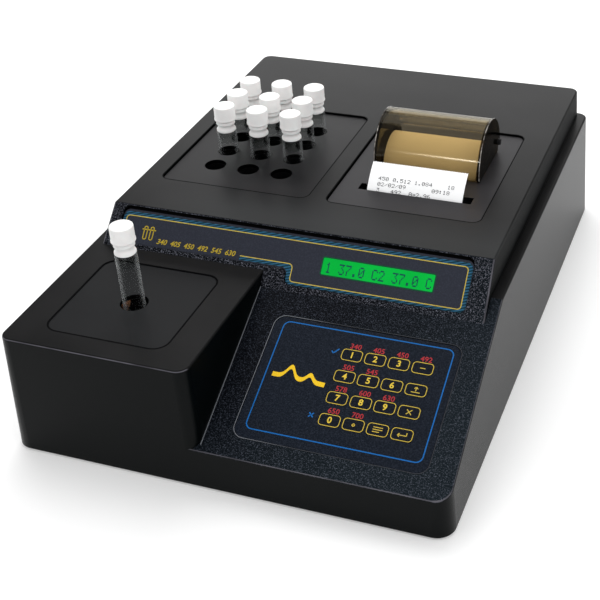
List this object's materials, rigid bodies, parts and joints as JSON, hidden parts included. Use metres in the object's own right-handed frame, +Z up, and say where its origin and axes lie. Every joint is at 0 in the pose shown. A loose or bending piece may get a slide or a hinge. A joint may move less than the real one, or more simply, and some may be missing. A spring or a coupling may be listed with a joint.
{
  "type": "bench-top biochemistry analyzer",
  "caption": "Low sloped bench-top analyzer with a stoppered-tube incubator, a measuring cell, a keypad, a display strip and a strip printer under a hinged smoked cover.",
  "frame": {"origin": "middle of the footprint on the bench, under the feet", "axes": "+X to the operator's right, +Y to the back, +Z up; the keypad faces -Y"},
  "size_m": [0.25, 0.347, 0.1207],
  "materials": {
    "housing": "black, fine spark texture",
    "sheet_steel": "flat black paint",
    "rubber": "matte black",
    "screw_steel": "zinc plated",
    "rear_plate": "satin",
    "black_plastic": "fine grain",
    "rocker": "gloss",
    "port_shell": "tin plated",
    "panel": "black, fine grain",
    "block_aluminium": "machined",
    "heater_silicone": "matte",
    "mechanism": "moulded",
    "platen_rubber": "ground rubber",
    "roll_paper": "smooth thermal paper",
    "strip_paper": "smooth thermal paper",
    "spindle": "moulded",
    "smoked_cover": "clear smoked, polished",
    "pin_steel": "turned",
    "cell_black": "black anodised",
    "copper": "bright copper",
    "lamp": "plain",
    "wheel": "black anodised with coloured filters",
    "motor": "plain",
    "circuit_board": "green solder mask",
    "display_strip": "printed, fine grain",
    "display_module": "display with metal bezel",
    "overlay": "printed, fine grain",
    "key_cap": "printed, domed film",
    "switch_layer": "film",
    "winding": "laminated core",
    "standoff": "turned",
    "tube_glass": "clear",
    "stopper": "moulded, white",
    "tube_and_stopper": "clear glass with a white stopper"
  },
  "bodies": {
    "housing": {"housing_cover": "housing", "base_plate": "sheet_steel", "rubber_feet": "rubber", "base_screws": "screw_steel", "rear_panel": "rear_plate", "power_inlet": "black_plastic", "serial_port": "port_shell", "incubator_panel": "panel", "incubator_block": "block_aluminium", "heater_pad": "heater_silicone", "printer_panel": "panel", "printer_mechanism": "mechanism", "cover_hinge_pins": "pin_steel", "paper_strip": "strip_paper", "cell_block": "cell_black", "cell_clip": "copper", "lamp_module": "lamp", "filter_motor": "motor", "detector_board": "circuit_board", "display_fascia": "display_strip", "lcd_module": "display_module", "keypad_overlay": "overlay", "keypad_circuit": "switch_layer", "main_board": "circuit_board", "power_transformer": "winding", "board_standoffs": "standoff"},
    "power_rocker": {"power_rocker": "rocker"},
    "platen_roller": {"platen_roller": "platen_rubber"},
    "paper_roll": {"paper_roll": "roll_paper", "roll_spindle": "spindle"},
    "roll_cover": {"roll_cover": "smoked_cover"},
    "cell_cover": {"cell_cover": "panel"},
    "filter_wheel": {"filter_wheel": "wheel"},
    "cell_tube": {"cell_tube": "tube_glass"},
    "cell_cap": {"cell_cap": "stopper"},
    "key_1": {"key_1": "key_cap"},
    "key_2": {"key_2": "key_cap"},
    "key_3": {"key_3": "key_cap"},
    "key_4": {"key_4": "key_cap"},
    "key_5": {"key_5": "key_cap"},
    "key_6": {"key_6": "key_cap"},
    "key_7": {"key_7": "key_cap"},
    "key_8": {"key_8": "key_cap"},
    "key_9": {"key_9": "key_cap"},
    "key_10": {"key_10": "key_cap"},
    "key_11": {"key_11": "key_cap"},
    "key_12": {"key_12": "key_cap"},
    "key_13": {"key_13": "key_cap"},
    "key_14": {"key_14": "key_cap"},
    "key_15": {"key_15": "key_cap"},
    "key_16": {"key_16": "key_cap"},
    "tube_1": {"stoppered_tube_1": "tube_and_stopper"},
    "tube_2": {"stoppered_tube_2": "tube_and_stopper"},
    "tube_3": {"stoppered_tube_3": "tube_and_stopper"},
    "tube_4": {"stoppered_tube_4": "tube_and_stopper"},
    "tube_5": {"stoppered_tube_5": "tube_and_stopper"},
    "tube_6": {"stoppered_tube_6": "tube_and_stopper"},
    "tube_7": {"stoppered_tube_7": "tube_and_stopper"},
    "tube_8": {"stoppered_tube_8": "tube_and_stopper"},
    "tube_9": {"stoppered_tube_9": "tube_and_stopper"}
  },
  "joints": [
    {"name": "roll_cover_hinge", "type": "hinge", "parent": "housing", "child": "roll_cover", "pos_m": [0.0516, 0.067, 0.097], "axis": [-1, 0, 0], "range_deg": [0, 100]},
    {"name": "power_rocker_tilt", "type": "hinge", "parent": "housing", "child": "power_rocker", "pos_m": [0.0855, 0.16688, 0.03092], "axis": [0, 0.0476, -0.9989], "range_deg": [0, 16]},
    {"name": "platen_spin", "type": "hinge", "parent": "housing", "child": "platen_roller", "pos_m": [0.0516, 0.00762, 0.077], "axis": [-1, 0, 0], "continuous": true},
    {"name": "paper_roll_spin", "type": "hinge", "parent": "housing", "child": "paper_roll", "pos_m": [0.0516, 0.0495, 0.0846], "axis": [-1, 0, 0], "continuous": true},
    {"name": "filter_wheel_spin", "type": "hinge", "parent": "housing", "child": "filter_wheel", "pos_m": [-0.0468, -0.0935, 0.04], "axis": [0, 1, 0], "continuous": true},
    {"name": "cell_tube_lift", "type": "slide", "parent": "housing", "child": "cell_tube", "axis": [0, 0, 1], "range_m": [0, 0.07]},
    {"name": "cell_cap_pull", "type": "slide", "parent": "cell_tube", "child": "cell_cap", "axis": [0, 0, 1], "range_m": [0, 0.02]},
    {"name": "cell_cover_lift", "type": "slide", "parent": "housing", "child": "cell_cover", "axis": [0, 0, 1], "range_m": [0, 0.06]},
    {"name": "tube_1_lift", "type": "slide", "parent": "housing", "child": "tube_1", "axis": [0, 0, 1], "range_m": [0, 0.07]},
    {"name": "tube_2_lift", "type": "slide", "parent": "housing", "child": "tube_2", "axis": [0, 0, 1], "range_m": [0, 0.07]},
    {"name": "tube_3_lift", "type": "slide", "parent": "housing", "child": "tube_3", "axis": [0, 0, 1], "range_m": [0, 0.07]},
    {"name": "tube_4_lift", "type": "slide", "parent": "housing", "child": "tube_4", "axis": [0, 0, 1], "range_m": [0, 0.07]},
    {"name": "tube_5_lift", "type": "slide", "parent": "housing", "child": "tube_5", "axis": [0, 0, 1], "range_m": [0, 0.07]},
    {"name": "tube_6_lift", "type": "slide", "parent": "housing", "child": "tube_6", "axis": [0, 0, 1], "range_m": [0, 0.07]},
    {"name": "tube_7_lift", "type": "slide", "parent": "housing", "child": "tube_7", "axis": [0, 0, 1], "range_m": [0, 0.07]},
    {"name": "tube_8_lift", "type": "slide", "parent": "housing", "child": "tube_8", "axis": [0, 0, 1], "range_m": [0, 0.07]},
    {"name": "tube_9_lift", "type": "slide", "parent": "housing", "child": "tube_9", "axis": [0, 0, 1], "range_m": [0, 0.07]},
    {"name": "key_1_press", "type": "slide", "parent": "housing", "child": "key_1", "axis": [0, 0.4019, -0.9157], "range_m": [0, 0.0003], "stiffness_N_per_m": 1500},
    {"name": "key_2_press", "type": "slide", "parent": "housing", "child": "key_2", "axis": [0, 0.4019, -0.9157], "range_m": [0, 0.0003], "stiffness_N_per_m": 1500},
    {"name": "key_3_press", "type": "slide", "parent": "housing", "child": "key_3", "axis": [0, 0.4019, -0.9157], "range_m": [0, 0.0003], "stiffness_N_per_m": 1500},
    {"name": "key_4_press", "type": "slide", "parent": "housing", "child": "key_4", "axis": [0, 0.4019, -0.9157], "range_m": [0, 0.0003], "stiffness_N_per_m": 1500},
    {"name": "key_5_press", "type": "slide", "parent": "housing", "child": "key_5", "axis": [0, 0.4019, -0.9157], "range_m": [0, 0.0003], "stiffness_N_per_m": 1500},
    {"name": "key_6_press", "type": "slide", "parent": "housing", "child": "key_6", "axis": [0, 0.4019, -0.9157], "range_m": [0, 0.0003], "stiffness_N_per_m": 1500},
    {"name": "key_7_press", "type": "slide", "parent": "housing", "child": "key_7", "axis": [0, 0.4019, -0.9157], "range_m": [0, 0.0003], "stiffness_N_per_m": 1500},
    {"name": "key_8_press", "type": "slide", "parent": "housing", "child": "key_8", "axis": [0, 0.4019, -0.9157], "range_m": [0, 0.0003], "stiffness_N_per_m": 1500},
    {"name": "key_9_press", "type": "slide", "parent": "housing", "child": "key_9", "axis": [0, 0.4019, -0.9157], "range_m": [0, 0.0003], "stiffness_N_per_m": 1500},
    {"name": "key_10_press", "type": "slide", "parent": "housing", "child": "key_10", "axis": [0, 0.4019, -0.9157], "range_m": [0, 0.0003], "stiffness_N_per_m": 1500},
    {"name": "key_11_press", "type": "slide", "parent": "housing", "child": "key_11", "axis": [0, 0.4019, -0.9157], "range_m": [0, 0.0003], "stiffness_N_per_m": 1500},
    {"name": "key_12_press", "type": "slide", "parent": "housing", "child": "key_12", "axis": [0, 0.4019, -0.9157], "range_m": [0, 0.0003], "stiffness_N_per_m": 1500},
    {"name": "key_13_press", "type": "slide", "parent": "housing", "child": "key_13", "axis": [0, 0.4019, -0.9157], "range_m": [0, 0.0003], "stiffness_N_per_m": 1500},
    {"name": "key_14_press", "type": "slide", "parent": "housing", "child": "key_14", "axis": [0, 0.4019, -0.9157], "range_m": [0, 0.0003], "stiffness_N_per_m": 1500},
    {"name": "key_15_press", "type": "slide", "parent": "housing", "child": "key_15", "axis": [0, 0.4019, -0.9157], "range_m": [0, 0.0003], "stiffness_N_per_m": 1500},
    {"name": "key_16_press", "type": "slide", "parent": "housing", "child": "key_16", "axis": [0, 0.4019, -0.9157], "range_m": [0, 0.0003], "stiffness_N_per_m": 1500}
  ],
  "couplings": [
    {"joint": "paper_roll_spin", "follows": "platen_spin", "ratio": 0.2973}
  ]
}
